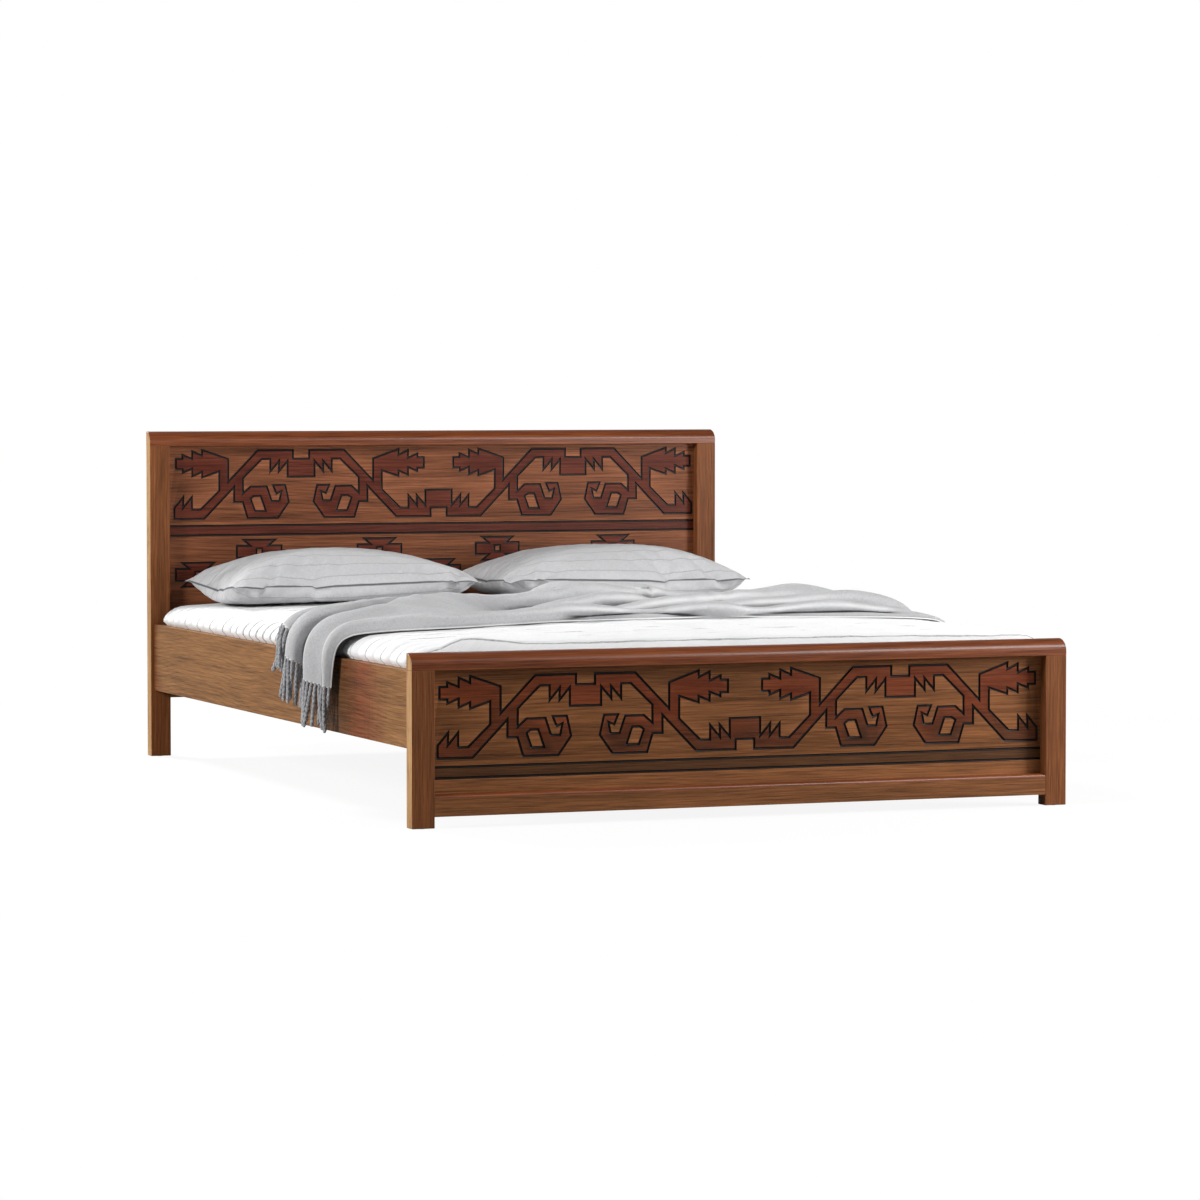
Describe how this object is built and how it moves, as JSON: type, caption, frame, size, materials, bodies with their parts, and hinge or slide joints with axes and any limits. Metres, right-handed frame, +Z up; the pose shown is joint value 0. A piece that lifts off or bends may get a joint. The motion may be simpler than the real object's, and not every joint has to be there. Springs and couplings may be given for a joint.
{
  "type": "double bed",
  "caption": "Double bed with a kilim-routed headboard and footboard, slatted base, mattress, pillows and a fringed throw.",
  "frame": {"origin": "on the floor, under the middle of the bed", "axes": "+X across the bed to the right seen from its foot, +Y from the foot to the head, +Z up"},
  "size_m": [1.592, 2.086, 0.833],
  "materials": {
    "post_wood": "satin lacquer, brown walnut tone, upright grain",
    "panel_wood": "satin lacquer, walnut tone, motifs stained red brown in black routed grooves",
    "mahogany": "glossy lacquer over a red mahogany stain",
    "rail_wood": "satin lacquer, light walnut tone, long wavy grain",
    "slat_wood": "planed, unfinished",
    "steel": "zinc-plated steel",
    "plastic": "dark moulded plastic",
    "ticking": "white cotton with fine woven stripes",
    "pillow_linen": "white cotton with fine woven stripes",
    "woven_wool": "soft grey plain weave with twisted fringe"
  },
  "bodies": {
    "bedstead": {"footboard_post_left": "post_wood", "footboard_post_right": "post_wood", "footboard_glide_left": "plastic", "footboard_glide_right": "plastic", "footboard_panel": "panel_wood", "footboard_cap": "mahogany", "footboard_bottom_rail": "mahogany", "headboard_post_left": "post_wood", "headboard_post_right": "post_wood", "headboard_glide_left": "plastic", "headboard_glide_right": "plastic", "headboard_panel": "panel_wood", "headboard_cap": "mahogany", "headboard_bottom_rail": "mahogany", "side_rail_left": "rail_wood", "side_rail_right": "rail_wood", "rail_hook_foot_left": "steel", "rail_hook_foot_right": "steel", "post_receiver_foot_left": "steel", "post_receiver_foot_right": "steel", "rail_hook_head_left": "steel", "rail_hook_head_right": "steel", "post_receiver_head_left": "steel", "post_receiver_head_right": "steel", "slat_ledger_left": "slat_wood", "slat_ledger_right": "slat_wood", "slat_01": "slat_wood", "slat_02": "slat_wood", "slat_03": "slat_wood", "slat_04": "slat_wood", "slat_05": "slat_wood", "slat_06": "slat_wood", "slat_07": "slat_wood", "slat_08": "slat_wood", "slat_09": "slat_wood", "slat_10": "slat_wood", "slat_11": "slat_wood", "slat_12": "slat_wood", "slat_13": "slat_wood", "slat_14": "slat_wood", "middle_beam": "slat_wood", "support_leg_foot": "slat_wood", "support_foot_foot": "plastic", "support_leg_centre": "slat_wood", "support_foot_centre": "plastic", "support_leg_head": "slat_wood", "support_foot_head": "plastic"},
    "mattress": {"mattress": "ticking"},
    "pillow_left": {"pillow_left": "pillow_linen"},
    "pillow_right": {"pillow_right": "pillow_linen"},
    "throw": {"throw": "woven_wool", "throw_fringe_left": "woven_wool", "throw_fringe_right": "woven_wool"}
  },
  "joints": [
    {"name": "mattress_lift", "type": "slide", "parent": "bedstead", "child": "mattress", "axis": [0, 0, 1], "range_m": [0, 0.25]},
    {"name": "pillow_left_lift", "type": "slide", "parent": "mattress", "child": "pillow_left", "axis": [0, 0, 1], "range_m": [0, 0.25]},
    {"name": "pillow_right_lift", "type": "slide", "parent": "mattress", "child": "pillow_right", "axis": [0, 0, 1], "range_m": [0, 0.25]},
    {"name": "throw_lift", "type": "slide", "parent": "mattress", "child": "throw", "axis": [0, 0, 1], "range_m": [0, 0.3]}
  ]
}
